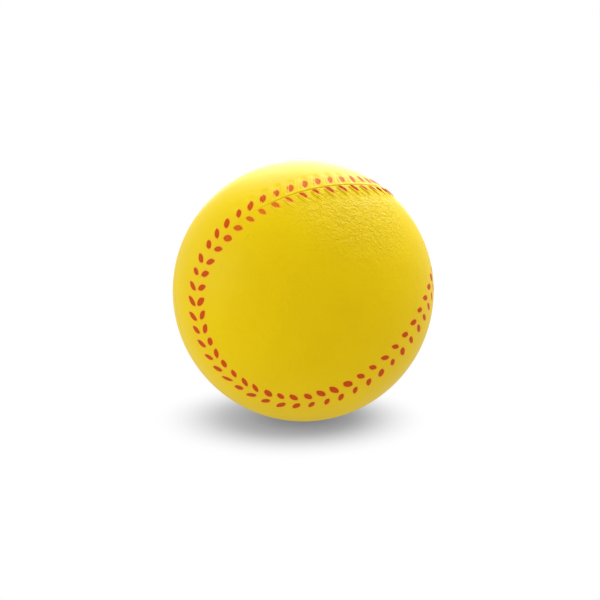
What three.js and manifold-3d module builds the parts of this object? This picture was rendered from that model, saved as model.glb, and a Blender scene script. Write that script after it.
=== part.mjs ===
// A training baseball: a soft moulded foam ball in yellow, with a baseball's seam and two rows
// of red stitches. Millimetres, +Z up as the ball lies, origin at the ball's centre.
//
// A foam core fills a denser skin. The seam divides the skin into two equal panels, each shaped
// like a figure eight and gripping the other at its waist. A welt borders each panel at the seam.
// Beside it runs a groove, and a row of stitches lies in the groove as one piece: a comb of
// slanted stitches that all spring from a low cord along the welt's foot.

import * as THREE from "three";
import { mergeVertices } from "three/addons/utils/BufferGeometryUtils.js";
import Module from "manifold-3d";

const wasm = await Module();
wasm.setup();

// The ball: nine inches round
const BALL_DIAMETER = 73;
const SKIN_THICKNESS = 3;
const CORE_CLEARANCE = 0.3;

// The seam's shape, as angles from the ball's centre
const SEAM_REACH = THREE.MathUtils.degToRad(70.1); // latitude at which the seam turns back
const SEAM_WAIST = THREE.MathUtils.degToRad(27.2); // how far it swings in to form the waists
const SEAM_SHOULDER = THREE.MathUtils.degToRad(2.5); // fullness of the bends beside a waist
const SEAM_GAP = 0.3; // open line between the two panels

// The stitches: each is widest at its root beside the seam and narrows to its tip
const STITCH_PAIRS = 108;
const STITCH_SLANT = THREE.MathUtils.degToRad(66); // angle between a stitch and the seam
const STITCH_ROOT_WIDTH = 1.6;
const STITCH_TIP_WIDTH = 0.7;
const STITCH_CROWN = 0.1; // how far its root stands above the skin
const STITCH_TIP_DROP = 0.2; // how far its tip lies below the skin
const STITCH_FOOT = 0.7; // how far its underside lies below the skin
const STITCH_CLEARANCE = 0.3; // to the groove all round

// The row: its near edge and the stitches' tips, as distances from the seam, and the cord
const ROW_START = 0.9;
const ROW_END = 3.3;
const CORD_WIDTH = 0.6;
const CORD_DROP = 0.3; // how far the cord's top lies below the skin

// How the ball lies: turns about X, Y and Z, applied in that order
const LIE = new THREE.Euler(
  THREE.MathUtils.degToRad(-40.1),
  THREE.MathUtils.degToRad(54.2),
  THREE.MathUtils.degToRad(164.5),
  "XYZ"
);

// How finely the round shapes are faceted
const OUTER_DETAIL = 7;
const INNER_DETAIL = 5;
const SEAM_STEPS = 108;
const LENGTH_SAMPLES = 2000; // for measuring along the seam

const BALL_RADIUS = BALL_DIAMETER / 2;
const SKIN_INNER_RADIUS = BALL_RADIUS - SKIN_THICKNESS;
const CUT_MARGIN = 1; // how far a cutting solid stands out past what it cuts

const YELLOW_SKIN = new THREE.MeshStandardMaterial({ color: 0xf2d21e, roughness: 0.55, metalness: 0 });
const PALE_FOAM = new THREE.MeshStandardMaterial({ color: 0xf3e08a, roughness: 0.9, metalness: 0 });
const RED_INK = new THREE.MeshStandardMaterial({ color: 0xcc3f12, roughness: 0.5, metalness: 0 });

// The seam as a closed curve on a sphere of radius 1. Its latitude swings twice north and south
// in one round, while its longitude lags and leads to draw the waists in.
class SeamCurve extends THREE.Curve {
  getPoint(t, target = new THREE.Vector3()) {
    const turn = 2 * Math.PI * t;
    const latitude = SEAM_REACH * Math.sin(2 * turn);
    const longitude = turn - SEAM_WAIST * Math.sin(4 * turn) + SEAM_SHOULDER * Math.sin(8 * turn);
    return target.set(
      Math.cos(latitude) * Math.cos(longitude),
      Math.cos(latitude) * Math.sin(longitude),
      Math.sin(latitude)
    );
  }
}

const seam = new SeamCurve();
seam.arcLengthDivisions = LENGTH_SAMPLES;

// Axes at a share of the way round the seam: out of the ball, along the seam, and to its left
function seamAxes(share) {
  const out = seam.getPointAt(share);
  const along = seam.getTangentAt(share);
  along.addScaledVector(out, -along.dot(out)).normalize();
  const left = new THREE.Vector3().crossVectors(out, along);
  return { out, along, left };
}

// A point beside the seam: millimetres ahead and to the left along the ball's surface, and down
function besideSeam(axes, ahead, left, depth) {
  return axes.out
    .clone()
    .addScaledVector(axes.along, ahead / BALL_RADIUS)
    .addScaledVector(axes.left, left / BALL_RADIUS)
    .normalize()
    .multiplyScalar(BALL_RADIUS - depth);
}

// Joins sections that follow one another all round the seam into one closed solid. Each section
// is a list of points that runs anticlockwise, seen from ahead.
function ringOfSections(sections) {
  const triangles = [];
  const corners = sections[0].length;
  for (let step = 0; step < sections.length; step += 1) {
    const here = step * corners;
    const next = ((step + 1) % sections.length) * corners;
    for (let corner = 0; corner < corners; corner += 1) {
      const following = (corner + 1) % corners;
      triangles.push(here + corner, here + following, next + following);
      triangles.push(here + corner, next + following, next + corner);
    }
  }
  const geometry = new THREE.BufferGeometry().setFromPoints(sections.flat());
  geometry.setIndex(triangles);
  geometry.computeVertexNormals();
  return geometry;
}

// A band that follows the seam between two distances from it, right negative, and two depths
function bandAlongSeam(right, left, top, bottom) {
  const sections = [];
  for (let step = 0; step < SEAM_STEPS; step += 1) {
    const axes = seamAxes((step + 0.5) / SEAM_STEPS);
    sections.push([
      besideSeam(axes, 0, right, bottom),
      besideSeam(axes, 0, left, bottom),
      besideSeam(axes, 0, left, top),
      besideSeam(axes, 0, right, top),
    ]);
  }
  return ringOfSections(sections);
}

function ballOfRadius(radius, detail) {
  const geometry = new THREE.IcosahedronGeometry(radius, detail);
  geometry.deleteAttribute("normal");
  geometry.deleteAttribute("uv");
  return mergeVertices(geometry);
}

function toSolid(geometry) {
  const vertProperties = new Float32Array(geometry.attributes.position.array);
  const triVerts = new Uint32Array(geometry.index.array);
  return new wasm.Manifold(new wasm.Mesh({ numProp: 3, vertProperties, triVerts }));
}

function toGeometry(solid) {
  const { vertProperties, triVerts } = solid.getMesh();
  const geometry = new THREE.BufferGeometry();
  geometry.setAttribute("position", new THREE.BufferAttribute(vertProperties, 3));
  geometry.setIndex(new THREE.BufferAttribute(triVerts, 1));
  geometry.computeVertexNormals();
  return geometry;
}

function namedMesh(name, geometry, material) {
  const mesh = new THREE.Mesh(geometry, material);
  mesh.name = name;
  return mesh;
}

const GROOVE_START = ROW_START - STITCH_CLEARANCE;
const GROOVE_END = ROW_END + STITCH_CLEARANCE;
const GROOVE_DEPTH = STITCH_FOOT + STITCH_CLEARANCE;

// The foam inside, cast to the skin's inner face
function foamCore() {
  const geometry = ballOfRadius(SKIN_INNER_RADIUS - CORE_CLEARANCE, INNER_DETAIL);
  return namedMesh("foam_core", geometry, PALE_FOAM);
}

// The skin is cut from a hollow ball, with a groove on either side of the seam. The seam parts it
// into its two panels, and the front one crosses the seam curve's north pole.
function skinPanels() {
  const outer = toSolid(ballOfRadius(BALL_RADIUS, OUTER_DETAIL));
  const inner = toSolid(ballOfRadius(SKIN_INNER_RADIUS, INNER_DETAIL));
  const cutters = [
    bandAlongSeam(-SEAM_GAP / 2, SEAM_GAP / 2, -CUT_MARGIN, SKIN_THICKNESS + CUT_MARGIN),
    bandAlongSeam(GROOVE_START, GROOVE_END, -CUT_MARGIN, GROOVE_DEPTH),
    bandAlongSeam(-GROOVE_END, -GROOVE_START, -CUT_MARGIN, GROOVE_DEPTH),
  ];
  const skin = cutters.reduce((rest, cutter) => rest.subtract(toSolid(cutter)), outer.subtract(inner));
  const panels = skin.decompose().sort((a, b) => b.boundingBox().max[2] - a.boundingBox().max[2]);
  return ["skin_panel_front", "skin_panel_rear"].map((name, i) =>
    namedMesh(name, toGeometry(panels[i]), YELLOW_SKIN)
  );
}

// One row of stitches, left (1) or right (-1) of the seam. Its sections lie along the stitches'
// slant, four to a stitch: the far ones of a stitch reach out to its tip, and from its last
// section to the next stitch runs the cord.
function stitchRow(name, row) {
  const rootHalf = STITCH_ROOT_WIDTH / 2 / Math.sin(STITCH_SLANT);
  const tipHalf = STITCH_TIP_WIDTH / 2 / Math.sin(STITCH_SLANT);
  const cordEdge = ROW_START + CORD_WIDTH;
  const stations = [
    { ahead: -rootHalf, reach: cordEdge, nearTop: CORD_DROP, farTop: CORD_DROP },
    { ahead: -tipHalf, reach: ROW_END, nearTop: -STITCH_CROWN, farTop: STITCH_TIP_DROP },
    { ahead: tipHalf, reach: ROW_END, nearTop: -STITCH_CROWN, farTop: STITCH_TIP_DROP },
    { ahead: rootHalf, reach: cordEdge, nearTop: CORD_DROP, farTop: CORD_DROP },
  ];
  const sections = [];
  for (let pair = 0; pair < STITCH_PAIRS; pair += 1) {
    const axes = seamAxes(pair / STITCH_PAIRS);
    const at = (ahead, reach, depth) => {
      const slantedBack = ahead - (reach - ROW_START) / Math.tan(STITCH_SLANT);
      return besideSeam(axes, slantedBack, row * reach, depth);
    };
    stations.forEach(({ ahead, reach, nearTop, farTop }) => {
      const section = [
        at(ahead, ROW_START, STITCH_FOOT),
        at(ahead, reach, STITCH_FOOT),
        at(ahead, reach, farTop),
        at(ahead, ROW_START, nearTop),
      ];
      sections.push(row > 0 ? section : section.reverse());
    });
  }
  return namedMesh(name, ringOfSections(sections), RED_INK);
}

const ball = new THREE.Group();
ball.rotation.copy(LIE);
ball.add(foamCore(), ...skinPanels());
ball.add(stitchRow("stitch_row_front", 1), stitchRow("stitch_row_rear", -1));

const part = new THREE.Group();
part.add(ball);

export default part;
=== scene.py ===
# %% [markdown]
# # A training baseball in soft foam
#
# This ball is poured, not sewn. A mould the size of a baseball is filled with polyurethane that
# foams up, and where it meets the cool wall the bubbles collapse into a smooth, dense skin. The
# seam and the stitches are cut into the mould, and red ink is printed on them afterwards. So a good
# model needs three things: the relief of the mould, the ink's own outline, and a satin foam skin.
#
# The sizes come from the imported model, and everything is worked out in millimetres and written to
# Blender in metres.

import math

import bmesh
import bpy
import numpy as np
from mathutils import Matrix, Vector, noise
from mathutils.geometry import delaunay_2d_cdt


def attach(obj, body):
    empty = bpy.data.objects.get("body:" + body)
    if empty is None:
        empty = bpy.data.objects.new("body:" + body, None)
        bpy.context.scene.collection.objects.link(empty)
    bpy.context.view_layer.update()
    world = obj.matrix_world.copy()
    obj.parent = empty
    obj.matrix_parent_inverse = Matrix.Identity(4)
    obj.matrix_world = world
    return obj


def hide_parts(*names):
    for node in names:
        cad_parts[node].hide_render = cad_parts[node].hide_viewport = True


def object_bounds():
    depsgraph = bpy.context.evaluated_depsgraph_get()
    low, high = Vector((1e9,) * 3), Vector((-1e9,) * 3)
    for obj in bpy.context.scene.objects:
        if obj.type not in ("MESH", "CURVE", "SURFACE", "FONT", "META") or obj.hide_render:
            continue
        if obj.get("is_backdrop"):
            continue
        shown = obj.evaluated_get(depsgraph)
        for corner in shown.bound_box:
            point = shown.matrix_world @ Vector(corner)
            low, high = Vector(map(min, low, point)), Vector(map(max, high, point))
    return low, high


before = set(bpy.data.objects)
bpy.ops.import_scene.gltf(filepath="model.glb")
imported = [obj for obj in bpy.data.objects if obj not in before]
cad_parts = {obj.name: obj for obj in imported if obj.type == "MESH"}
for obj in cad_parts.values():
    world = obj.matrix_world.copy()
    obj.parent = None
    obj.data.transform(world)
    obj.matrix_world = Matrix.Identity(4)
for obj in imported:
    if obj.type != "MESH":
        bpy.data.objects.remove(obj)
cad_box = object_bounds()
MM = 0.001
print("box of the packed model, mm:", [[round(v / MM, 2) for v in corner] for corner in cad_box])

# %% [markdown]
# ## Radii
#
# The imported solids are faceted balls, whose corners lie on the true sphere. The farthest corner of a
# node therefore gives its real radius, and nothing has to be typed in twice.

# %% Measure the ball


def farthest_corner(node_name):
    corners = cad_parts[node_name].data.vertices
    return max(corner.co.length for corner in corners) / MM


SKIN_CLEARANCE = 0.3  # between the core and the skin's inner face
BALL_RADIUS = farthest_corner("skin_panel_front")
CORE_RADIUS = farthest_corner("foam_core")
SKIN_INNER_RADIUS = CORE_RADIUS + SKIN_CLEARANCE
print("ball, skin's inner face and core, radius in mm:", BALL_RADIUS, SKIN_INNER_RADIUS, CORE_RADIUS)

# %% [markdown]
# ## The seam's line
#
# A baseball's seam is one closed line that swings twice north and twice south round the ball. A
# formula gives its latitude and longitude for each turn, which is easier to keep even than a curve
# with hand-set points. Stitches are spaced by length, so the line is measured once with many short
# steps, and places on it are then given in pitches: how many stitches along they are.

# %% Follow the seam
SEAM_REACH = math.radians(70.1)  # latitude at which the seam turns back
SEAM_WAIST = math.radians(27.2)  # how far it swings in to form the waists
SEAM_SHOULDER = math.radians(2.5)  # fullness of the bends beside a waist
STITCHES = 108  # in each of the two rows
LENGTH_STEPS = 20000


def seam_point(turn):
    latitude = SEAM_REACH * np.sin(2 * turn)
    longitude = turn - SEAM_WAIST * np.sin(4 * turn) + SEAM_SHOULDER * np.sin(8 * turn)
    level = np.cos(latitude)
    return np.stack([level * np.cos(longitude), level * np.sin(longitude), np.sin(latitude)], -1)


turns = np.linspace(0, 2 * math.pi, LENGTH_STEPS + 1)
steps = np.linalg.norm(np.diff(seam_point(turns), axis=0), axis=1)
lengths = np.concatenate([[0], np.cumsum(steps)]) * BALL_RADIUS
SEAM_LENGTH = lengths[-1]
PITCH = SEAM_LENGTH / STITCHES
print("seam", round(SEAM_LENGTH, 1), "mm, one stitch every", round(PITCH, 3), "mm")

# %% [markdown]
# ## Places beside the seam
#
# Every detail of the relief is easiest to give by how far along the seam it is and how far to its
# left. Two functions turn such a place into a direction from the ball's centre and back again. The
# second finds the nearest of many stations on the seam and measures from there.

# %% Go from the seam to the ball and back
SMALL_TURN = 1e-4
SEARCH_STATIONS = 16 * STITCHES
SEARCH_CHUNK = 20000


def unit(vectors):
    return vectors / np.linalg.norm(vectors, axis=-1, keepdims=True)


def seam_axes(pitches):
    turn = np.interp(np.mod(pitches, STITCHES) * PITCH, lengths, turns)
    out = seam_point(turn)
    along = seam_point(turn + SMALL_TURN) - seam_point(turn - SMALL_TURN)
    along = unit(along - out * np.sum(along * out, -1, keepdims=True))
    return out, along, np.cross(out, along)


def beside_seam(pitches, left):
    out, _, to_left = seam_axes(pitches)
    return unit(out + to_left * (left / BALL_RADIUS)[..., None])


station_pitches = np.arange(SEARCH_STATIONS) * STITCHES / SEARCH_STATIONS
station_out, station_along, station_left = seam_axes(station_pitches)


def seam_place(directions):
    """Pitches along the seam, and millimetres to its left, of each direction."""
    flat = directions.reshape(-1, 3)
    parts = [flat[start : start + SEARCH_CHUNK] for start in range(0, len(flat), SEARCH_CHUNK)]
    nearest = np.concatenate([np.argmax(part @ station_out.T, axis=1) for part in parts])
    level = BALL_RADIUS / np.sum(flat * station_out[nearest], -1)
    ahead = np.sum(flat * station_along[nearest], -1) * level
    left = np.sum(flat * station_left[nearest], -1) * level
    shape = directions.shape[:-1]
    return (station_pitches[nearest] + ahead / PITCH).reshape(shape), left.reshape(shape)


there = beside_seam(np.array([10.5]), np.array([3.0]))
back = seam_place(there)
print("10.5 pitches on and 3 mm left, there and back:", [round(float(v[0]), 3) for v in back])

# %% [markdown]
# ## How the ball lies
#
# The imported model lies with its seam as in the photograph, so the scene repeats its three turns. The
# print doesn't sit quite true on a moulded ball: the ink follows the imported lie, and the mould's
# relief is turned by a degree and a half against it, which shows along the upper seam.

# %% Turn the seam to its lie
PRINT_TURNS = (-40.1, 54.2, 164.5)  # degrees about X, Y and Z, the last one applied first
MOULD_TURN = 1.4  # degrees between the print and the mould
MOULD_AXIS = Vector((0.95, 0.13, 0.30)).normalized()

lie = Matrix.Identity(3)
for degrees, axis in zip(PRINT_TURNS, "XYZ"):
    lie = lie @ Matrix.Rotation(math.radians(degrees), 3, axis)
mould_turn = Matrix.Rotation(math.radians(MOULD_TURN), 3, MOULD_AXIS)
PRINT_FRAME = np.array(lie)
MOULD_FRAME = np.array(mould_turn @ lie)
print("the middle of the front panel faces", np.round(MOULD_FRAME[:, 2], 3))

# %% [markdown]
# ## The rows of stitches
#
# The two rows lean the same way round the ball, as if one thread ran through both. A hand-cut mould
# isn't even: the stitches crowd together in some places and spread in others, by less than half a
# pitch. Two slow waves give that without looking random.

# %% Place the stitches
ROWS = {"front": 1, "rear": -1}  # left or right of the seam
STITCH_SLANT = math.radians(66)  # between a stitch and the seam
STITCH_LEAD = {"front": -0.075, "rear": 0.44}  # pitches ahead of the count, at the seam
CROWDING = ((0.32, 2, -22), (0.15, 4, -41))  # pitches, waves round the seam, degrees
STITCH_ROOT = 0.4  # mm from the seam to where a stitch begins
STITCH_LENGTH = 5.5  # mm
STITCH_HALF_WIDTH = 1.0  # mm
STRANDS = 3
STRAND_FULLNESS = 0.8  # below 1 a strand's crest is broad and the valley beside it narrow


def smooth(low, high, value):
    t = np.clip((value - low) / (high - low), 0, 1)
    return t * t * (3 - 2 * t)


def bell(value, centre, width):
    return np.exp(-(((value - centre) / width) ** 2))


def crowd(pitches, waves=CROWDING):
    turn = 2 * math.pi * pitches / STITCHES
    return sum(size * np.sin(count * turn + math.radians(phase)) for size, count, phase in waves)


def strand_wave(across):
    """1 on the crest of a strand and 0 between two strands."""
    return np.abs(np.sin((across / STITCH_HALF_WIDTH + 1) * math.pi * STRANDS / 2)) ** STRAND_FULLNESS


def stitch_place(pitches, reach, row_name):
    """Millimetres along and across the nearest stitch of a row."""
    lean = reach / math.tan(STITCH_SLANT) / PITCH
    count = pitches + lean - STITCH_LEAD[row_name] - crowd(pitches)
    off = (count - np.round(count)) * PITCH
    along = (reach - STITCH_ROOT) / math.sin(STITCH_SLANT) - off * math.cos(STITCH_SLANT)
    return along, off * math.sin(STITCH_SLANT)


most_crowded = np.abs(crowd(np.arange(STITCHES))).max() * PITCH
print("stitches lie up to", round(most_crowded, 2), "mm from an even spacing")

# %% [markdown]
# ## The mould's relief
#
# Seen from close by, the seam is a narrow groove with a soft lip on either side. Each stitch lies in
# a shallow bed, the foam swells a little between the beds, and there is a pit at the end of each
# stitch where the needle would go in. All of it is less than half a millimetre deep, so it could be
# a bump map. It is real geometry here, because the light along the top of the ball rakes across it
# and shows every edge.
#
# Only near the top did the foam take the mould's shape sharply. Crispness falls off from there to
# almost nothing, so that the sides and the underside are nearly plain.

# %% Shape the skin beside the seam
GROOVE_DEPTH = 0.20  # mm, like the sizes below
GROOVE_HALF_WIDTH = 0.25
GROOVE_FLOOR = 0.05  # half the width of its flat bottom
LIP_HEIGHT = 0.05
LIP_REACH = 0.60
LIP_WIDTH = 0.28
BED_DEPTH = 0.12
BED_HALF_WIDTH = 0.95
BED_EDGE = 0.35  # half the width of the slope at its side
BED_ENDS = (0, 0.9, -1.4, 0.4)  # slopes at the stitch's root, and at its tip
PILLOW_HEIGHT = 0.08
PILLOW_ENDS = (0.6, 1.6, 4.4)  # from the seam: it starts, is full, and begins to sink again
BORDER_END = 6.2  # from the seam to where the relief has run out
PIT_DEPTH = 0.14
PIT_SIZE = 0.9
LEAST_CRISPNESS = 0.06  # share of the relief that is left at the sides
CRISP_HEIGHTS = (0.64, 0.84)  # of the ball's radius, above its middle


def crispness(directions):
    """How sharply the foam took the mould's shape, from its least at the sides to 1 near the top."""
    return LEAST_CRISPNESS + (1 - LEAST_CRISPNESS) * smooth(*CRISP_HEIGHTS, directions[..., 2])


def skin_relief(pitches, reach, row_name):
    along, across = stitch_place(pitches, reach, row_name)
    groove = -GROOVE_DEPTH * (1 - smooth(GROOVE_FLOOR, GROOVE_HALF_WIDTH, reach))
    lip = LIP_HEIGHT * bell(reach, LIP_REACH, LIP_WIDTH)
    inside = 1 - smooth(BED_HALF_WIDTH - BED_EDGE, BED_HALF_WIDTH + BED_EDGE, np.abs(across))
    over = smooth(*BED_ENDS[:2], along) * (1 - smooth(*BED_ENDS[2:], along - STITCH_LENGTH))
    bed = -BED_DEPTH * inside * over
    border = smooth(*PILLOW_ENDS[:2], reach) * (1 - smooth(PILLOW_ENDS[2], BORDER_END, reach))
    pillow = PILLOW_HEIGHT * (1 - inside) * border
    pit = -PIT_DEPTH * bell(np.hypot(along - STITCH_LENGTH, across), 0, PIT_SIZE)
    return groove + lip + bed + pillow + pit


sample = skin_relief(*np.meshgrid(np.linspace(0, 4, 200), np.linspace(0, BORDER_END, 200)), "front")
print("relief from", round(sample.min(), 2), "to", round(sample.max(), 2), "mm")

# %% [markdown]
# ## Uneven foam
#
# A foam skin is never quite true: it wrinkles a little where it was stripped from the mould warm,
# most of all on the upper right here. Smooth noise moves the surface by a few hundredths of a
# millimetre, and less of it where the relief already breaks up the light. The finest wrinkles are
# left to the material's bump.

# %% Unevenness of the surface
WAVE_SIZES = ((2.1, 0.030), (0.8, 0.008))  # mm across a wrinkle, mm high
WAVINESS_SIDE = Vector((0.36, -0.60, 0.71))  # the side where the wrinkles are deepest
WAVINESS_TURN = (-0.1, 0.9)  # how far a point faces that side, from least to full waviness
LEAST_WAVINESS = 0.35
SEAM_WAVINESS = 0.35  # share that is left beside the seam
CALM_END = 3.5  # mm from the seam to where that share begins to rise


def unevenness(directions):
    side = smooth(*WAVINESS_TURN, directions @ np.array(WAVINESS_SIDE))
    strength = LEAST_WAVINESS + (1 - LEAST_WAVINESS) * side
    total = np.zeros(len(directions))
    for size, height in WAVE_SIZES:
        points = directions * BALL_RADIUS / size
        total += height * np.array([noise.noise(Vector(point)) for point in points])
    return total * strength


print("waves at most", sum(height for _, height in WAVE_SIZES), "mm high")

# %% [markdown]
# ## The ink
#
# A red mark is printed on the root half of each stitch. Its outline is a leaf, pointed at the tip and
# a little blunter at the root. Marks differ slightly in place, lean and size by chance, and over some
# stretches of the seam they twist, swell, shift or fade together, as the pad pressed unevenly. The
# fades near the top of the ball are partly a painted highlight: they pale the marks where glare falls.
# Where the threads are crisp the ink stays on their crests and leaves the valleys between them bare.
#
# A painted texture could show all this, but each vertex can instead carry the distance to the
# nearest mark's edge and how well the mark covers. The material turns the two into an outline with a
# soft halo, and needs no image.

# %% Measure the distance to the ink
# Each stretch is a change, its middle in pitches along the seam, and how far it reaches either way.
INK_SLANT = {"front": 68, "rear": 72}  # degrees to the seam
INK_TWIST = {  # degrees more
    "front": ((-22, 59, 5), (-30, 41.5, 5.5)),
    "rear": ((34, 61, 6), (-18, 44, 8)),
}
INK_SWELL = {  # share more width
    "front": ((-0.30, 25.5, 6), (-0.22, 57.5, 4)),
    "rear": ((0.15, 26, 4), (0.22, 42.5, 6), (0.14, 54, 5)),
}
# Partly painted highlight: the fades near the top pale the marks where glare falls.
INK_FADE_AND_GLARE = {"front": ((0.30, 28.5, 3.5),), "rear": ((0.28, 22, 5),)}  # share of foam showing
INK_SHIFT = {"front": ((-0.17, 22, 2.5),), "rear": ((0.15, 27.5, 5),)}  # pitches ahead
VALLEY_BARENESS = 0.55  # mm that the ink's edge draws back between two strands
INK_CROWDING = {"front": ((0.15, 4, -120),), "rear": ((0.04, 4, 60),)}  # as for the stitches
INK_LEAD = {"front": -0.215, "rear": -0.08}  # pitches ahead of the count, at the mark's middle
INK_REACH = 2.1  # mm from the seam to a mark's middle
INK_HALF_LENGTH = {"front": 1.62, "rear": 1.72}  # mm
INK_HALF_WIDTH = {"front": 0.96, "rear": 0.74}  # mm
ROOT_BLUNTNESS = 0.3  # 0 for a mark as pointed at its root as at its tip, 1 for a round root
PLACE_SPREAD = 0.1  # mm
LEAN_SPREAD = 4  # degrees
SIZE_SPREAD = 0.09  # share of its length and width
NO_INK = 3.0  # mm, far from any mark

random = np.random.default_rng(7)
ink_marks = {}
for row_name in ROWS:
    spread = random.normal(size=(5, STITCHES))
    count = np.arange(STITCHES)
    place = count + INK_LEAD[row_name] + crowd(count, CROWDING + INK_CROWDING[row_name])
    place = place + sum(shift * bell(count, *where) for shift, *where in INK_SHIFT[row_name])
    twist = sum(turn * bell(count, *where) for turn, *where in INK_TWIST[row_name])
    swell = 1 + sum(share * bell(count, *where) for share, *where in INK_SWELL[row_name])
    fade_and_glare = sum(share * bell(count, *where) for share, *where in INK_FADE_AND_GLARE[row_name])
    ink_marks[row_name] = {
        "pitches": place + spread[0] * PLACE_SPREAD / PITCH,
        "reach": INK_REACH + spread[1] * PLACE_SPREAD,
        "slant": np.radians(INK_SLANT[row_name] + twist + spread[2] * LEAN_SPREAD),
        "cover": 1 - fade_and_glare,
        "half_length": INK_HALF_LENGTH[row_name] * (1 + spread[3] * SIZE_SPREAD),
        "half_width": INK_HALF_WIDTH[row_name] * swell * (1 + spread[4] * SIZE_SPREAD),
    }
    mean_size = [2 * ink_marks[row_name][side].mean() for side in ("half_length", "half_width")]
    print(row_name, "row has", STITCHES, "marks of", np.round(mean_size, 2), "mm on average")


def ink_layer(directions, row_name):
    """Millimetres to the edge of the nearest mark, negative on the ink, and how well it covers."""
    pitches, left = seam_place(directions @ PRINT_FRAME)
    reach = left * ROWS[row_name]
    lean = (reach - INK_REACH) / math.tan(math.radians(INK_SLANT[row_name])) / PITCH
    nearest = np.round(pitches + lean - INK_LEAD[row_name] - crowd(pitches)).astype(int) % STITCHES
    mark = {name: values[nearest] for name, values in ink_marks[row_name].items()}
    off = np.mod(pitches - mark["pitches"] + STITCHES / 2, STITCHES) - STITCHES / 2
    ahead, outward = off * PITCH, reach - mark["reach"]
    cosine, sine = np.cos(mark["slant"]), np.sin(mark["slant"])
    along = outward * sine - ahead * cosine
    across = np.abs(ahead * sine + outward * cosine)
    width, length = mark["half_width"], mark["half_length"]
    round_end = (np.hypot(across / width, along / length) - 1) * width
    bow = (length**2 + width**2) / (2 * width)
    pointed_end = np.hypot(across + bow - width, along) - bow
    root_end = ROOT_BLUNTNESS * round_end + (1 - ROOT_BLUNTNESS) * pointed_end
    distance = np.where(along > 0, pointed_end, root_end)
    return np.where(reach > 0, np.minimum(distance, NO_INK), NO_INK), mark["cover"]


# %% [markdown]
# ## One way to make every mesh
#
# The pieces are worked out as arrays, because a hundred thousand points are slow to place one by one
# with modelling tools. One helper writes them to Blender in metres with smooth shading, and stores
# named numbers on the points: the ink's distance, how well it covers, and the strands.

# %% Make a mesh from arrays


def make_piece(name, points, faces, **point_values):
    mesh = bpy.data.meshes.new(name)
    mesh.from_pydata((points * MM).tolist(), [], faces)
    mesh.polygons.foreach_set("use_smooth", [True] * len(mesh.polygons))
    for value_name, values in point_values.items():
        layer = mesh.attributes.new(value_name, "FLOAT", "POINT")
        layer.data.foreach_set("value", np.ascontiguousarray(values, dtype=np.float32))
    mesh.update()
    piece = bpy.data.objects.new(name, mesh)
    bpy.context.scene.collection.objects.link(piece)
    triangles = sum(len(face) - 2 for face in faces)
    print(name, "has", len(points), "points and", triangles, "triangles")
    return piece


def grid_faces(first, rings, stations, forward):
    """Quads between rings of stations that close on themselves."""
    ring, station = np.meshgrid(np.arange(rings - 1), np.arange(stations), indexing="ij")
    following = (station + 1) % stations
    corners = [
        ring * stations + station,
        ring * stations + following,
        (ring + 1) * stations + following,
        (ring + 1) * stations + station,
    ]
    quads = np.stack(corners if forward else corners[::-1], -1).reshape(-1, 4) + first
    return quads.tolist()


# %% [markdown]
# ## Points all over a panel
#
# Inside the border each panel is plain, and its points only have to be even. A sunflower pattern
# spreads them over the whole ball, and those of one panel are kept. Seen from the opposite pole the
# ball unrolls on a plane without folding, so the points are joined there into even triangles.

# %% Fill a panel
GOLDEN_ANGLE = math.pi * (3 - math.sqrt(5))
RING_MARGIN = 0.6  # of the spacing, between a ring and the nearest loose points
INSIDE_RING = 1  # the joining keeps only the triangles inside the ring
MERGE_DISTANCE = 1e-9


def sunflower(spacing):
    count = int(4 * math.pi * BALL_RADIUS**2 / (spacing**2 * math.sqrt(3) / 2))
    index = np.arange(count)
    height = 1 - (2 * index + 1) / count
    level = np.sqrt(1 - height**2)
    angle = index * GOLDEN_ANGLE
    return np.stack([level * np.cos(angle), level * np.sin(angle), height], -1)


def fill_ring(ring, row, reach, spacing):
    """Points inside a ring of directions and the triangles between them. The ring comes first."""
    loose = sunflower(spacing)
    _, left = seam_place(loose)
    loose = loose[left * row > reach + spacing * RING_MARGIN]
    directions = np.concatenate([ring, loose])
    plane = directions[:, :2] / (1 + row * directions[:, 2:])
    plane[:, 1] *= row
    ring_edges = [(i, (i + 1) % len(ring)) for i in range(len(ring))]
    flat = [Vector(point) for point in plane]
    result = delaunay_2d_cdt(flat, ring_edges, [], INSIDE_RING, MERGE_DISTANCE)
    triangles, origins = result[2], result[3]
    faces = [[origins[corner][0] for corner in triangle] for triangle in triangles]
    return loose, faces


# %% [markdown]
# ## The two skin panels
#
# Each panel is a shell three millimetres thick, shaped like a figure eight. Along its edge runs a
# border of fine rows that carries the relief, and the plain field lies inside it. The border's rows
# are closest together at the groove, where the shape turns fastest.

# %% Build the panels
STATIONS_PER_STITCH = 16
BORDER_STATIONS = STATIONS_PER_STITCH * STITCHES
EDGE_ROWS = (0.006, 0.10, 0.19, 0.29, 0.40, 0.53, 0.67, 0.83, 1.0, 1.2)  # mm from the seam
ROW_SPACING = 0.2
LAST_ROW = 6.5
FIELD_SPACING = 0.46
INNER_SPACING = 4.0

wide_rows = np.arange(EDGE_ROWS[-1] + ROW_SPACING, LAST_ROW, ROW_SPACING)
border_rows = np.concatenate([EDGE_ROWS, wide_rows])
border_pitches = np.arange(BORDER_STATIONS) / STATIONS_PER_STITCH


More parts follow.
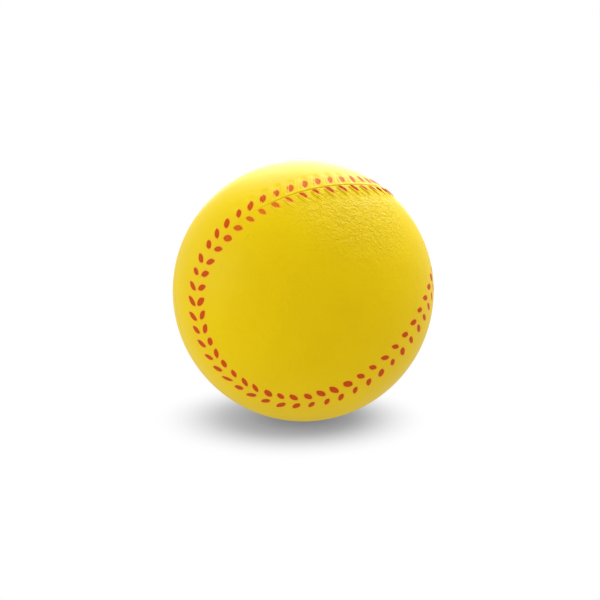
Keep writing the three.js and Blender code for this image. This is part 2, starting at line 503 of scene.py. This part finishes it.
def build_panel(row_name):
    row = ROWS[row_name]
    pitches, reach = np.meshgrid(border_pitches, border_rows)
    border = beside_seam(pitches, reach * row)
    rings = len(border_rows)
    field, field_faces = fill_ring(border[-1], row, border_rows[-1], FIELD_SPACING)
    inner_edge = border[0]
    inner_field, inner_faces = fill_ring(inner_edge, row, border_rows[0], INNER_SPACING)

    outer = np.concatenate([border.reshape(-1, 3), field])
    world = outer @ MOULD_FRAME.T
    distance_from_seam = np.concatenate([reach.ravel(), np.full(len(field), BORDER_END)])
    relief = np.zeros(len(outer))
    moulded = skin_relief(pitches, reach, row_name).ravel()
    relief[: reach.size] = moulded * crispness(world[: reach.size])
    calm = 1 - smooth(CALM_END, BORDER_END, distance_from_seam)
    relief += unevenness(world) * (1 - (1 - SEAM_WAVINESS) * calm)
    ink = np.full(len(outer), NO_INK)
    cover = np.ones(len(outer))
    ink[: reach.size], cover[: reach.size] = ink_layer(world[: reach.size], row_name)

    inner = np.concatenate([inner_edge, inner_field]) @ MOULD_FRAME.T
    points = np.concatenate([world * (BALL_RADIUS + relief)[:, None], inner * SKIN_INNER_RADIUS])
    last_ring = (rings - 1) * BORDER_STATIONS
    inner_start = len(outer)
    faces = grid_faces(0, rings, BORDER_STATIONS, row > 0)
    for face in field_faces:
        faces.append([last_ring + corner for corner in face])
    for face in inner_faces:
        faces.append([inner_start + corner for corner in reversed(face)])
    for station in range(BORDER_STATIONS):
        following = (station + 1) % BORDER_STATIONS
        wall = [inner_start + station, inner_start + following, following, station]
        faces.append(wall if row > 0 else wall[::-1])
    ink = np.concatenate([ink, np.full(len(inner), NO_INK)])
    cover = np.concatenate([cover, np.ones(len(inner))])
    strand = np.ones(len(points))
    strand[: reach.size] = strand_wave(stitch_place(pitches, reach, row_name)[1]).ravel()
    values = {"ink_distance": ink, "ink_cover": cover, "strand": strand}
    return make_piece("panel_" + row_name, points, faces, **values)


panels = {row_name: build_panel(row_name) for row_name in ROWS}

# %% [markdown]
# ## The moulded stitches
#
# A stitch on this ball is a slim pad with three strands cut side by side in it, like plies of
# thread. It starts narrow at the seam, widens, and sinks back into the skin at its far end and
# along both sides. The front row stands the higher of the two. Each stitch is a closed body made of
# cross-sections, and a row of them is one piece because a mould casts them together.

# %% Build the stitches
STITCH_SECTIONS = 23
STITCH_TOP_POINTS = 22
STITCH_ROOT_HALF_WIDTH = 0.55  # mm, like the heights and depths below
STITCH_WIDENING = (0, 0.45)  # share of its length over which a stitch widens to its full width
STITCH_TIP = (0.8, 1)  # share of its length over which it draws in to its tip
STITCH_TIP_DRAW = 0.75
STITCH_RISE = (-0.05, 0.10)  # share of its length over which it rises from the skin
STITCH_FALL = (0.5, 1.05)  # share of its length over which it sinks back
STITCH_LOW_SIDE = -1.1  # where across its half width it begins to rise, past its own edge
STITCH_BASE_SIDES = ((0.7, -0.7),)  # where across its half width its underside has its corners
STRAND_HEIGHT = {"front": 0.32, "rear": 0.08}
STITCH_CROWN = {"front": 0.20, "rear": 0.08}  # mm it stands above its bed
STITCH_CREST = 0.72  # where across its half width it is highest, on the side it leans from
STITCH_SINK = 0.09  # how far its edges dive below the bed
STITCH_BASE = 0.75  # depth of its underside


def build_stitches(row_name):
    row = ROWS[row_name]
    share = np.linspace(0, 1, STITCH_SECTIONS)[:, None]
    side = np.linspace(-1, 1, STITCH_TOP_POINTS)[None, :]
    widening = (STITCH_HALF_WIDTH - STITCH_ROOT_HALF_WIDTH) * smooth(*STITCH_WIDENING, share)
    taper = np.sqrt(1 - STITCH_TIP_DRAW * smooth(*STITCH_TIP, share))
    half_width = (STITCH_ROOT_HALF_WIDTH + widening) * taper
    swell = smooth(STITCH_LOW_SIDE, STITCH_CREST, side) * (1 - smooth(STITCH_CREST, 1, side))
    swell = swell * smooth(*STITCH_RISE, share) * (1 - smooth(*STITCH_FALL, share))
    strand = strand_wave(side * half_width) * STRAND_HEIGHT[row_name]
    top = (STITCH_CROWN[row_name] + STITCH_SINK + strand) * swell - STITCH_SINK - BED_DEPTH
    sides = np.concatenate([side, STITCH_BASE_SIDES], 1)
    across = half_width * sides
    height = np.concatenate([top, np.full((STITCH_SECTIONS, 2), -STITCH_BASE)], 1)
    along = np.broadcast_to(share * STITCH_LENGTH, across.shape)

    outward = STITCH_ROOT + along * math.sin(STITCH_SLANT) + across * math.cos(STITCH_SLANT)
    ahead = across * math.sin(STITCH_SLANT) - along * math.cos(STITCH_SLANT)
    root_ahead = STITCH_LEAD[row_name] * PITCH - STITCH_ROOT / math.tan(STITCH_SLANT)
    count = np.arange(STITCHES)[:, None, None]
    pitches = count + crowd(count) + (root_ahead + ahead)[None] / PITCH
    reach = np.broadcast_to(outward, pitches.shape)
    directions = beside_seam(pitches, reach * row).reshape(-1, 3) @ MOULD_FRAME.T
    levels = np.broadcast_to(height, pitches.shape).reshape(-1)
    levels = np.where(levels > -STITCH_BASE, levels * crispness(directions), levels)
    points = directions * (BALL_RADIUS + levels)[:, None]

    loop = STITCH_TOP_POINTS + 2
    faces = []
    for stitch in range(STITCHES):
        first = stitch * STITCH_SECTIONS * loop
        faces += grid_faces(first, STITCH_SECTIONS, loop, row > 0)
        root = list(range(first, first + loop))
        tip = [corner + (STITCH_SECTIONS - 1) * loop for corner in root]
        faces += [root[::-1], tip] if row > 0 else [root, tip[::-1]]
    strand = strand_wave(stitch_place(pitches, reach, row_name)[1]).ravel()
    bareness = VALLEY_BARENESS * (1 - strand) * smooth(*CRISP_HEIGHTS, directions[:, 2])
    ink, cover = ink_layer(directions, row_name)
    values = {"ink_distance": ink + bareness, "ink_cover": cover, "strand": strand}
    return make_piece("stitches_" + row_name, points, faces, **values)


stitches = {row_name: build_stitches(row_name) for row_name in ROWS}

# %% [markdown]
# ## The foam core
#
# Under the skin the foam stays light and open. The core is one casting with small voids all over,
# where bubbles broke against the skin as it set. Nobody sees it on a whole ball, but it is a piece
# like any other, with a body of its own.

# %% Build the core
CORE_DETAIL = 6
VOID_SIZE = 2.4  # mm
VOID_DEPTH = 0.5  # mm
VOID_REACH = 0.45  # of the void size, from its middle to its rim


def build_core():
    shell = bpy.data.meshes.new("core_shell")
    cells = bmesh.new()
    bmesh.ops.create_icosphere(cells, subdivisions=CORE_DETAIL, radius=1)
    for vertex in cells.verts:
        void = noise.voronoi(vertex.co * CORE_RADIUS / VOID_SIZE)[0][0]
        vertex.co *= CORE_RADIUS - VOID_DEPTH * max(0.0, 1 - void / VOID_REACH)
    cells.to_mesh(shell)
    cells.free()
    points = np.array([vertex.co for vertex in shell.vertices])
    faces = [list(face.vertices) for face in shell.polygons]
    bpy.data.meshes.remove(shell)
    return make_piece("core", points, faces)


core = build_core()

# %% [markdown]
# ## Colours and nodes
#
# Colours are written as they look on a screen, and one function turns them into the linear values
# that Blender computes with. One more adds a node, sets it and links it, so that each material below
# reads as a list of its layers. The last one tells the rays that see a white surface from those
# that only carry its light on.

# %% Colour and node helpers


def colour(code):
    shown = [int(code[i : i + 2], 16) / 255 for i in (1, 3, 5)]
    linear = [v / 12.92 if v <= 0.04045 else ((v + 0.055) / 1.055) ** 2.4 for v in shown]
    return (*linear, 1.0)


def add(tree, kind, settings=None, inputs=None):
    node = tree.nodes.new("ShaderNode" + kind)
    for name, value in (settings or {}).items():
        setattr(node, name, value)
    for name, value in (inputs or {}).items():
        if isinstance(value, bpy.types.NodeSocket):
            tree.links.new(value, node.inputs[name])
        else:
            node.inputs[name].default_value = value
    return node


def new_material(name):
    material = bpy.data.materials.new(name)
    material.use_nodes = True
    material.node_tree.nodes.clear()
    return material, material.node_tree


def seen_directly(tree):
    """1 for rays from the camera and for those sent on by gloss or glass, 0 for all others."""
    rays = add(tree, "LightPath").outputs
    sent_on = add(
        tree,
        "Math",
        {"operation": "MAXIMUM"},
        {0: rays["Is Glossy Ray"], 1: rays["Is Transmission Ray"]},
    ).outputs[0]
    return add(
        tree, "Math", {"operation": "MAXIMUM"}, {0: rays["Is Camera Ray"], 1: sent_on}
    ).outputs[0]


# %% [markdown]
# ## Self-skinned polyurethane foam, printed in red
#
# The skin forms in the mould, so its surface is a cast of polished metal with fine wrinkles. It
# looks satin: broad soft highlights and no clear reflection. The yellow is dyed right through, and
# fine pores and wrinkles break it up, deepest on the upper right. The front panel is the more
# wrinkled one and the rear panel is smoother. A thin band along one great circle is drawn darker.
#
# The ink lies on top as a thin layer, a little duller than the foam, which soaks in at its edge and
# leaves an orange halo. The ink distance is mixed with a little noise, so that the outline isn't
# drawn with a ruler. The ink is painted lighter on the crests of the strands and darker between
# them, as painted shade in the valleys.

# %% Make the foam skin and its ink
METRE_TO_MM = 1000
CLOUD_SIZE = 9  # mm
WRINKLE_SIZE = 0.5  # mm
PORE_SIZE = 0.28  # mm, coarser than real pores, which are too fine to show
PORE_HEIGHT = 0.02  # mm
WRINKLED_SIDE = (0.84, 0.99)  # of the radius, towards the wavy side: least wrinkled, and most
LEAST_WRINKLED = 0.2
SATIN = (0.40, 0.50)  # roughness
FOAM_SHINE = 0.065  # far below the usual 0.5, so that no pale veil lies on the ball's edge
INK_SHINE = 0.04
INK_FRAY = 0.07  # mm either way
HALO = (0.42, 0.08)  # mm outside the ink's edge where the stain begins, and where it is full
INK_EDGE = (0.12, -0.20)  # mm to the ink's edge where ink begins, and where it is full
INK_BODY = (-0.10, -0.50)  # mm inside the edge, from its dark rim to its bright middle
# Painted shade: the ink is drawn darker in the valleys between the strands.
VALLEY_SHADE = 0.4  # how much of that brightness is left between two strands
DARK_BAND_AXIS = MOULD_FRAME @ np.array((-1, 1, 0)) / math.sqrt(2)
DARK_BAND_HALF_WIDTH = 0.45  # mm
DARK_BAND_STRENGTH = 0.5


def foam_with_ink(name, wrinkle_height):
    material, tree = new_material(name)
    place = add(tree, "TexCoord").outputs["Object"]
    cloud = add(
        tree,
        "TexNoise",
        inputs={"Vector": place, "Scale": METRE_TO_MM / CLOUD_SIZE, "Detail": 3, "Roughness": 0.6},
    ).outputs["Fac"]
    wrinkle = add(
        tree,
        "TexNoise",
        inputs={
            "Vector": place,
            "Scale": METRE_TO_MM / WRINKLE_SIZE / 2,
            "Detail": 2,
            "Roughness": 0.45,
            "Distortion": 0.9,
        },
    ).outputs["Fac"]
    pore = add(
        tree,
        "TexNoise",
        inputs={"Vector": place, "Scale": METRE_TO_MM / PORE_SIZE / 2, "Detail": 1},
    ).outputs["Fac"]
    foam = add(
        tree,
        "Mix",
        {"data_type": "RGBA"},
        {0: cloud, 6: colour("#DEB900"), 7: colour("#E6C400")},
    ).outputs[2]

    side = add(
        tree, "VectorMath", {"operation": "DOT_PRODUCT"}, {0: place, 1: WAVINESS_SIDE}
    ).outputs["Value"]
    wrinkled = add(
        tree,
        "MapRange",
        {"interpolation_type": "SMOOTHSTEP"},
        {
            "Value": side,
            "From Min": WRINKLED_SIDE[0] * BALL_RADIUS * MM,
            "From Max": WRINKLED_SIDE[1] * BALL_RADIUS * MM,
            "To Min": LEAST_WRINKLED,
        },
    ).outputs[0]
    off_dark_band = add(
        tree, "VectorMath", {"operation": "DOT_PRODUCT"}, {0: place, 1: DARK_BAND_AXIS}
    ).outputs["Value"]
    from_dark_band = add(tree, "Math", {"operation": "ABSOLUTE"}, {0: off_dark_band}).outputs[0]
    dark_band = add(
        tree,
        "MapRange",
        {"interpolation_type": "SMOOTHSTEP"},
        {
            "Value": from_dark_band,
            "From Min": DARK_BAND_HALF_WIDTH * MM,
            "From Max": 0,
            "To Max": DARK_BAND_STRENGTH,
        },
    ).outputs[0]
    # A thin band along one great circle of the ball is drawn darker, in olive yellow.
    foam = add(
        tree,
        "Mix",
        {"data_type": "RGBA"},
        {0: dark_band, 6: foam, 7: colour("#B0920C")},
    ).outputs[2]

    edge = add(tree, "Attribute", {"attribute_name": "ink_distance"}).outputs["Fac"]
    fray = add(
        tree, "MapRange", inputs={"Value": wrinkle, "To Min": -INK_FRAY, "To Max": INK_FRAY}
    ).outputs[0]
    frayed = add(tree, "Math", {"operation": "ADD"}, {0: edge, 1: fray}).outputs[0]
    stain = add(
        tree,
        "MapRange",
        {"interpolation_type": "SMOOTHSTEP"},
        {"Value": frayed, "From Min": HALO[0], "From Max": HALO[1]},
    ).outputs[0]
    inked = add(
        tree,
        "MapRange",
        {"interpolation_type": "SMOOTHSTEP"},
        {"Value": frayed, "From Min": INK_EDGE[0], "From Max": INK_EDGE[1]},
    ).outputs[0]
    strand = add(tree, "Attribute", {"attribute_name": "strand"}).outputs["Fac"]
    inside = add(
        tree,
        "MapRange",
        inputs={"Value": frayed, "From Min": INK_BODY[0], "From Max": INK_BODY[1]},
    ).outputs[0]
    # Painted shade: the ink is darker between the strands and lighter on their crests.
    valley_shade = add(
        tree, "MapRange", inputs={"Value": strand, "To Min": VALLEY_SHADE, "To Max": 1.0}
    ).outputs[0]
    body = add(tree, "Math", {"operation": "MULTIPLY"}, {0: inside, 1: valley_shade}).outputs[0]
    ink = add(
        tree,
        "Mix",
        {"data_type": "RGBA"},
        {0: body, 6: colour("#A54100"), 7: colour("#CA4900")},
    ).outputs[2]
    stained = add(
        tree,
        "Mix",
        {"data_type": "RGBA"},
        {0: stain, 6: foam, 7: colour("#F4A020")},
    ).outputs[2]
    cover = add(tree, "Attribute", {"attribute_name": "ink_cover"}).outputs["Fac"]
    covered = add(tree, "Math", {"operation": "MULTIPLY"}, {0: inked, 1: cover}).outputs[0]
    shown = add(tree, "Mix", {"data_type": "RGBA"}, {0: covered, 6: stained, 7: ink}).outputs[2]

    satin = add(
        tree, "MapRange", inputs={"Value": cloud, "To Min": SATIN[0], "To Max": SATIN[1]}
    ).outputs[0]
    fine = add(
        tree, "Bump", inputs={"Height": pore, "Strength": 0.25, "Distance": PORE_HEIGHT * MM}
    ).outputs[0]
    bumped = add(
        tree,
        "Bump",
        inputs={
            "Height": wrinkle,
            "Strength": wrinkled,
            "Distance": wrinkle_height * MM,
            "Normal": fine,
        },
    ).outputs[0]
    shine = add(
        tree, "MapRange", inputs={"Value": inked, "To Min": FOAM_SHINE, "To Max": INK_SHINE}
    ).outputs[0]
    shader = add(
        tree,
        "BsdfPrincipled",
        inputs={
            "Base Color": shown,
            "Roughness": satin,
            "Normal": bumped,
            "IOR": 1.5,
            "Specular IOR Level": shine,
        },
    )
    add(tree, "OutputMaterial", inputs={"Surface": shader.outputs[0]})
    return material


foam_skin = {
    "front": foam_with_ink("self_skinned_polyurethane_foam", wrinkle_height=0.6),
    "rear": foam_with_ink("smooth_polyurethane_foam", wrinkle_height=0.20),
}
printed_skin = foam_with_ink("print_ink_on_polyurethane_foam", wrinkle_height=0.3)
for skin in (*foam_skin.values(), printed_skin):
    print(skin.name, "has", len(skin.node_tree.nodes), "nodes")

# %% [markdown]
# ## Open-celled polyurethane foam
#
# Where foam is free to rise it sets as a web of cells with dry, matt walls. A cell pattern drives
# both its colour and its bump: pale walls, and painted shade that darkens the hollows.

# %% Make the core's foam
CELL_SIZE = 0.9  # mm
CELL_DEPTH = 0.3  # mm


def open_foam():
    material, tree = new_material("open_celled_polyurethane_foam")
    place = add(tree, "TexCoord").outputs["Object"]
    cells = add(
        tree,
        "TexVoronoi",
        inputs={"Vector": place, "Scale": METRE_TO_MM / CELL_SIZE},
    ).outputs["Distance"]
    # Painted shade: the hollows of the cells are drawn darker and the walls paler.
    cell_colour_and_hollow_shade = add(
        tree,
        "Mix",
        {"data_type": "RGBA"},
        {0: cells, 6: colour("#C9A93C"), 7: colour("#F3E08A")},
    ).outputs[2]
    bump = add(
        tree, "Bump", inputs={"Height": cells, "Strength": 0.8, "Distance": CELL_DEPTH * MM}
    ).outputs[0]
    rough = add(tree, "MapRange", inputs={"Value": cells, "To Min": 0.95, "To Max": 0.8}).outputs[0]
    shader = add(
        tree,
        "BsdfPrincipled",
        inputs={"Base Color": cell_colour_and_hollow_shade, "Normal": bump, "Roughness": rough, "Specular IOR Level": 0.3},
    )
    add(tree, "OutputMaterial", inputs={"Surface": shader.outputs[0]})
    return material


core_foam = open_foam()
print(core_foam.name, "has", len(core_foam.node_tree.nodes), "nodes")

# %% [markdown]
# ## Dress the imported nodes
#
# Each piece stands for one node of the imported model and rides on its only body, since nothing on
# the ball moves.

# %% Put the pieces in place
for row_name in ROWS:
    panels[row_name].data.materials.append(foam_skin[row_name])
    stitches[row_name].data.materials.append(printed_skin)
    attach(panels[row_name], "root")
    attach(stitches[row_name], "root")
    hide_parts("skin_panel_" + row_name)
    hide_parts("stitch_row_" + row_name)
core.data.materials.append(core_foam)
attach(core, "root")
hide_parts("foam_core")

# %% [markdown]
# ## The floor
#
# The ball lies on white card, and the photograph shows nothing of it but the ball's own soft shadow.
# The shadow has no colour and no direction, so it is drawn from how much open room each point of
# the card sees. Away from the ball it gives way to an even white. For light that reaches the ball,
# the card is a painted glow: it shines evenly, with no shadow on it, and lights the ball from below.

# %% Lay the floor
FLOOR_HALF_SIZE = 3.0  # m
SHADOW_CENTRE = (-0.1 * BALL_RADIUS * MM, 0, 0)
SHADOW_INNER = 0.45 * BALL_RADIUS * MM
SHADOW_OUTER = 1.1 * BALL_RADIUS * MM
SHADOW_DEPTH = 0.8
OPEN_ROOM = 8 * BALL_RADIUS * MM  # how far away a thing can shade the card
OPEN_ROOM_RAYS = 16
CARD_GLOW = 0.9


def lay_floor():
    level = -BALL_RADIUS * MM
    signs = [(-1, -1), (1, -1), (1, 1), (-1, 1)]
    corners = [(x * FLOOR_HALF_SIZE, y * FLOOR_HALF_SIZE, level) for x, y in signs]
    mesh = bpy.data.meshes.new("floor")
    mesh.from_pydata(corners, [], [(0, 1, 2, 3)])
    floor = bpy.data.objects.new("floor", mesh)
    bpy.context.scene.collection.objects.link(floor)

    material, tree = new_material("white_card")
    place = add(tree, "TexCoord").outputs["Object"]
    moved = add(
        tree, "VectorMath", {"operation": "SUBTRACT"}, {0: place, 1: SHADOW_CENTRE}
    ).outputs[0]
    flat = add(tree, "VectorMath", {"operation": "MULTIPLY"}, {0: moved, 1: (1, 1, 0)}).outputs[0]
    distance = add(tree, "VectorMath", {"operation": "LENGTH"}, {0: flat}).outputs["Value"]
    away = add(
        tree,
        "MapRange",
        {"interpolation_type": "SMOOTHSTEP"},
        {"Value": distance, "From Min": SHADOW_INNER, "From Max": SHADOW_OUTER},
    ).outputs[0]
    openness = add(
        tree, "AmbientOcclusion", {"samples": OPEN_ROOM_RAYS}, {"Distance": OPEN_ROOM}
    ).outputs["AO"]
    lit = add(
        tree, "MapRange", inputs={"Value": openness, "To Min": 1 - SHADOW_DEPTH, "To Max": 1.0}
    ).outputs[0]
    card = add(tree, "Emission", inputs={"Strength": lit}).outputs[0]
    white = add(tree, "Emission", inputs={"Strength": 1.0}).outputs[0]
    seen = add(tree, "MixShader", inputs={0: away, 1: card, 2: white}).outputs[0]
    # Painted glow: for rays that reach the ball the card shines evenly, with no shadow, like a lamp.
    glow = add(tree, "Emission", inputs={"Strength": CARD_GLOW}).outputs[0]
    surface = add(tree, "MixShader", inputs={0: seen_directly(tree), 1: glow, 2: seen}).outputs[0]
    add(tree, "OutputMaterial", inputs={"Surface": surface})
    mesh.materials.append(material)
    floor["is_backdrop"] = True


lay_floor()

# %% [markdown]
# ## The light
#
# The studio is a white room. Two large soft lamps hang high up, behind the ball and to its right,
# and give the bright crescent along its top. Two weaker ones stand low down, on its left and behind
# it, and lift its edge. Their light is a little cooler than the room's. The world gives the room's
# even light, and shows as white behind the ball.

# %% Hang the lamps
LAMP_DISTANCE = 1.0  # m
LAMP_TINT = (0.84, 1.0, 1.3)  # daylight, cooler than the room
WHITE = (1, 1, 1, 1)
ROOM_BRIGHTNESS = 0.824
LAMPS = {  # degrees round from the camera, degrees up, m across, W
    "back_high": (174, 46, 1.0, 9.4),
    "right_high": (118, 54, 0.9, 5.6),
    "left_low": (280, 14, 0.7, 3.6),
    "back_low": (180, 12, 0.7, 3.5),
}

for name, (azimuth, elevation, size, power) in LAMPS.items():
    lamp = bpy.data.lights.new(name, "AREA")
    lamp.shape = "DISK"
    lamp.size = size
    lamp.energy = power
    lamp.color = LAMP_TINT
    holder = bpy.data.objects.new(name, lamp)
    bpy.context.scene.collection.objects.link(holder)
    around, up = math.radians(azimuth), math.radians(elevation)
    away = Vector((math.sin(around) * math.cos(up), -math.cos(around) * math.cos(up), math.sin(up)))
    holder.location = away * LAMP_DISTANCE
    holder.rotation_euler = away.to_track_quat("Z", "Y").to_euler()

world = bpy.data.worlds.new("room")
bpy.context.scene.world = world
world.use_nodes = True
tree = world.node_tree
tree.nodes.clear()
room = add(tree, "Background", inputs={"Color": WHITE, "Strength": ROOM_BRIGHTNESS}).outputs[0]
backdrop = add(tree, "Background", inputs={"Color": WHITE, "Strength": 1.0}).outputs[0]
mixed = add(tree, "MixShader", inputs={0: seen_directly(tree), 1: room, 2: backdrop}).outputs[0]
add(tree, "OutputWorld", inputs={"Surface": mixed})

# %% [markdown]
# ## The camera
#
# The photograph looks down on the ball by about ten degrees with a long lens. Its frame is square,
# and the ball lies a little off its middle, which a small shift of the lens repeats.

# %% Set up the camera
CAMERA_DISTANCE = 8.84 * BALL_RADIUS * MM
CAMERA_ELEVATION = math.radians(10)
LENS = 68.8  # mm
SENSOR_WIDTH = 36  # mm
FRAME_PIXELS = 600
BALL_SHIFT = (3.19, 9.17)  # pixels right of the frame's middle and above it

camera = bpy.data.objects.new("camera", bpy.data.cameras.new("camera"))
bpy.context.scene.collection.objects.link(camera)
camera.data.lens = LENS
camera.data.sensor_width = SENSOR_WIDTH
camera.data.shift_x = -BALL_SHIFT[0] / FRAME_PIXELS
camera.data.shift_y = -BALL_SHIFT[1] / FRAME_PIXELS
camera.location = (
    0,
    -CAMERA_DISTANCE * math.cos(CAMERA_ELEVATION),
    CAMERA_DISTANCE * math.sin(CAMERA_ELEVATION),
)
camera.rotation_euler = (math.pi / 2 - CAMERA_ELEVATION, 0, 0)
print("camera", round(CAMERA_DISTANCE / MM), "mm from the ball's middle")
bpy.context.scene.camera = camera
bpy.context.scene.view_settings.view_transform = "Standard"

# %% [markdown]
# ## The size
#
# The dressed ball has to be as big as the imported one, to within the facets of its solids. Both boxes
# are kept side by side.

# %% Write the sizes and finish
dressed_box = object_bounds()
sizes = {
    "packed": [[float(v) for v in corner] for corner in cad_box],
    "dressed": [[float(v) for v in corner] for corner in dressed_box],
}
print("packed and dressed size, mm:")
for low, high in sizes.values():
    print([round((b - a) / MM, 2) for a, b in zip(low, high)])
